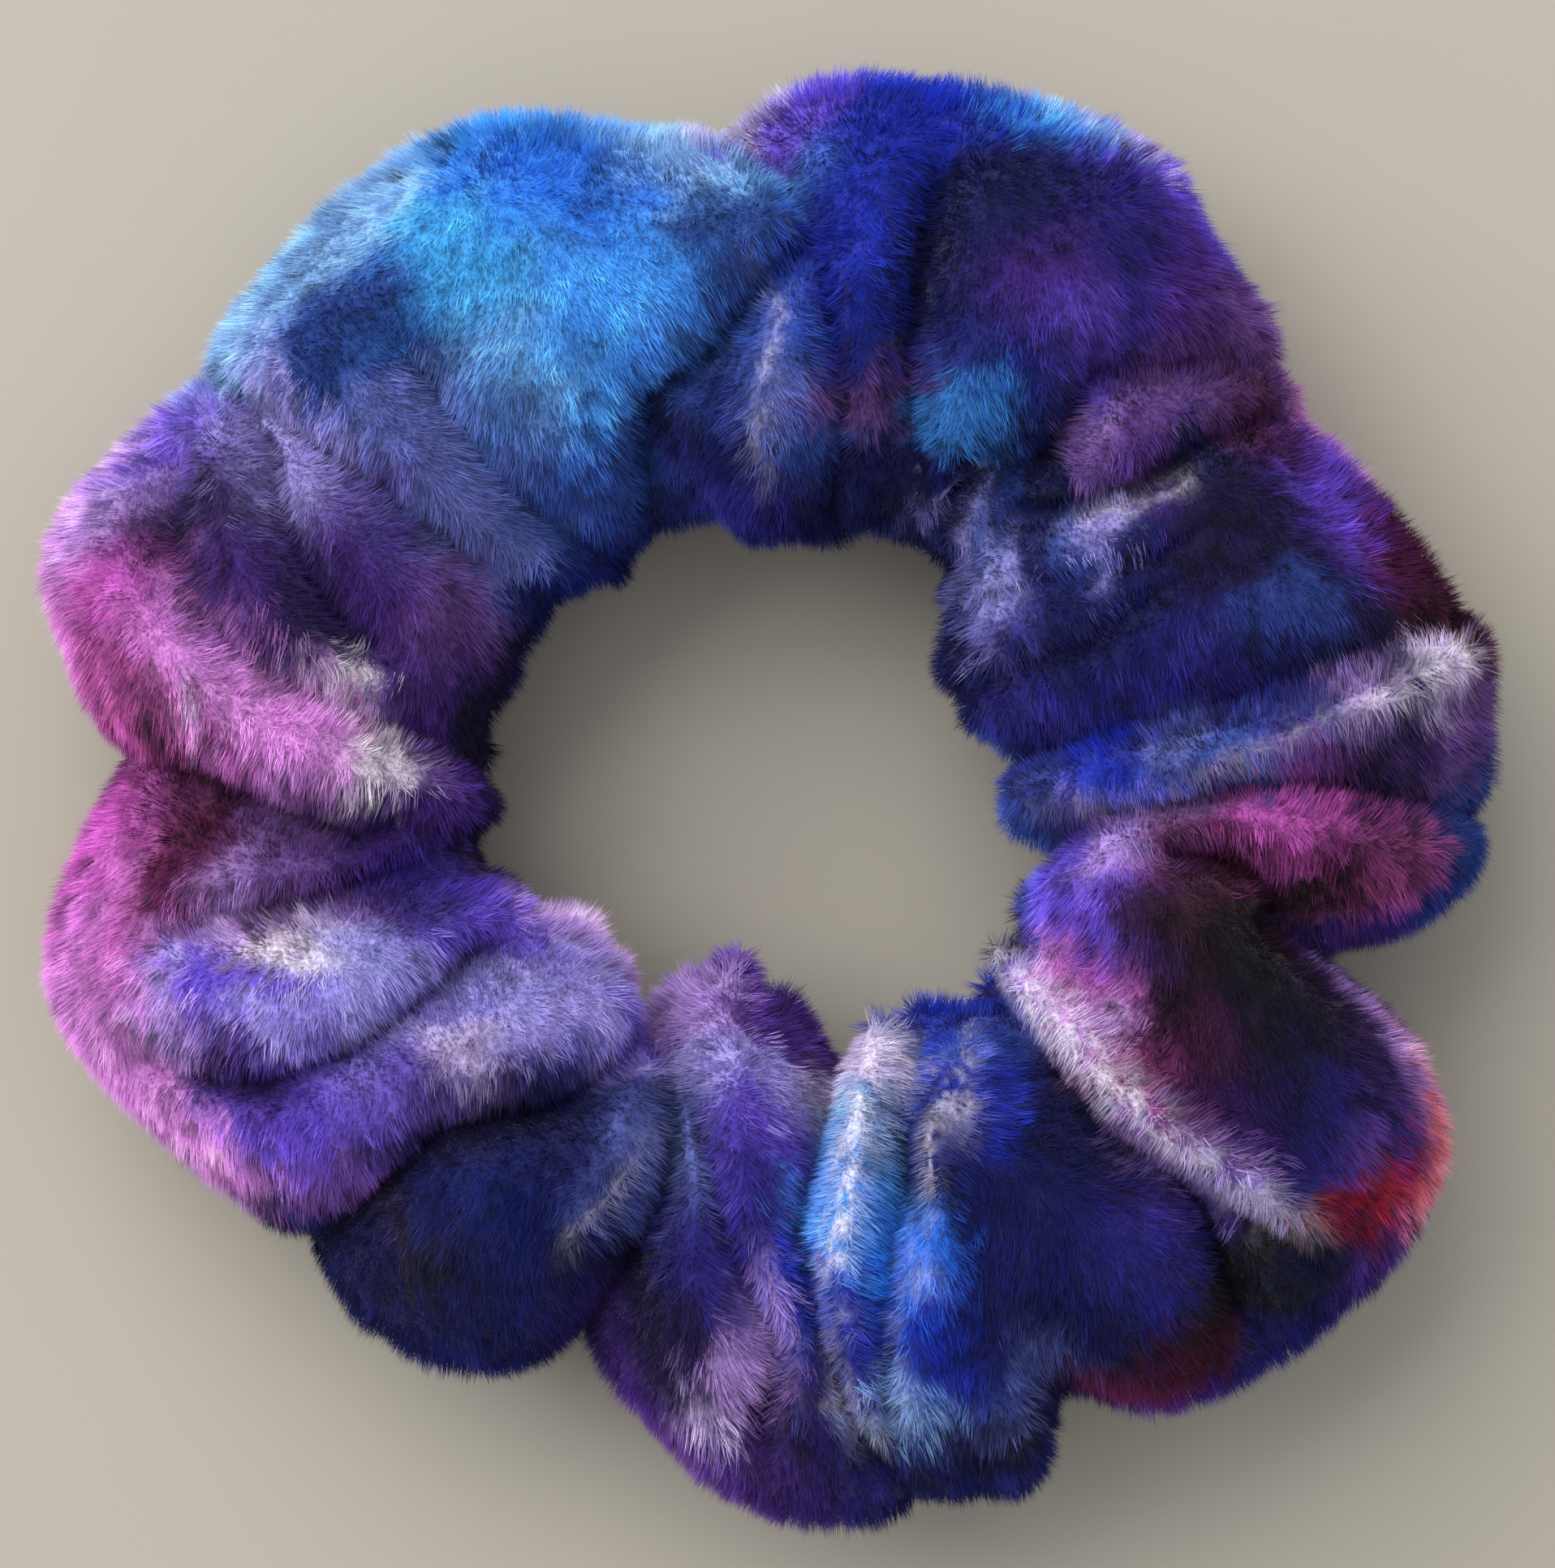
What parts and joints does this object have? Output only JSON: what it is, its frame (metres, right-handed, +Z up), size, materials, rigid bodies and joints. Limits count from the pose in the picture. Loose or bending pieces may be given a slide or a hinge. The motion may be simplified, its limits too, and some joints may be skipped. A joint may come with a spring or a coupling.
{
  "type": "scrunchie",
  "caption": "Gathered plush hair scrunchie, tie-dyed in blues, violets and magenta, lying flat in a ring over a hidden elastic loop.",
  "frame": {"origin": "on the surface the ring rests on, under the middle of its outline", "axes": "+Z up through the ring's hole; +X to the right and +Y away as the ring lies, the widest folds towards +X and -Y"},
  "size_m": [0.1079, 0.1088, 0.0319],
  "materials": {
    "plush": "short-pile plush, tie-dyed in blue, violet, lilac, magenta and navy, white at the root of the pile",
    "elastic": "white flat braided elastic",
    "join_thread": "white spun polyester thread",
    "seam_thread": "dark blue spun polyester thread"
  },
  "bodies": {
    "sleeve": {"plush_sleeve": "plush", "long_seam_needle_thread": "seam_thread", "long_seam_bobbin_thread": "seam_thread", "closing_seam_needle_thread": "seam_thread", "closing_seam_bobbin_thread": "seam_thread"},
    "elastic": {"elastic_band": "elastic", "elastic_join_needle_thread": "join_thread", "elastic_join_bobbin_thread": "join_thread"}
  },
  "joints": [
    {"name": "elastic_slip", "type": "hinge", "parent": "sleeve", "child": "elastic", "pos_m": [0, 0, 0.0149], "axis": [0, 0, 1], "continuous": true}
  ]
}
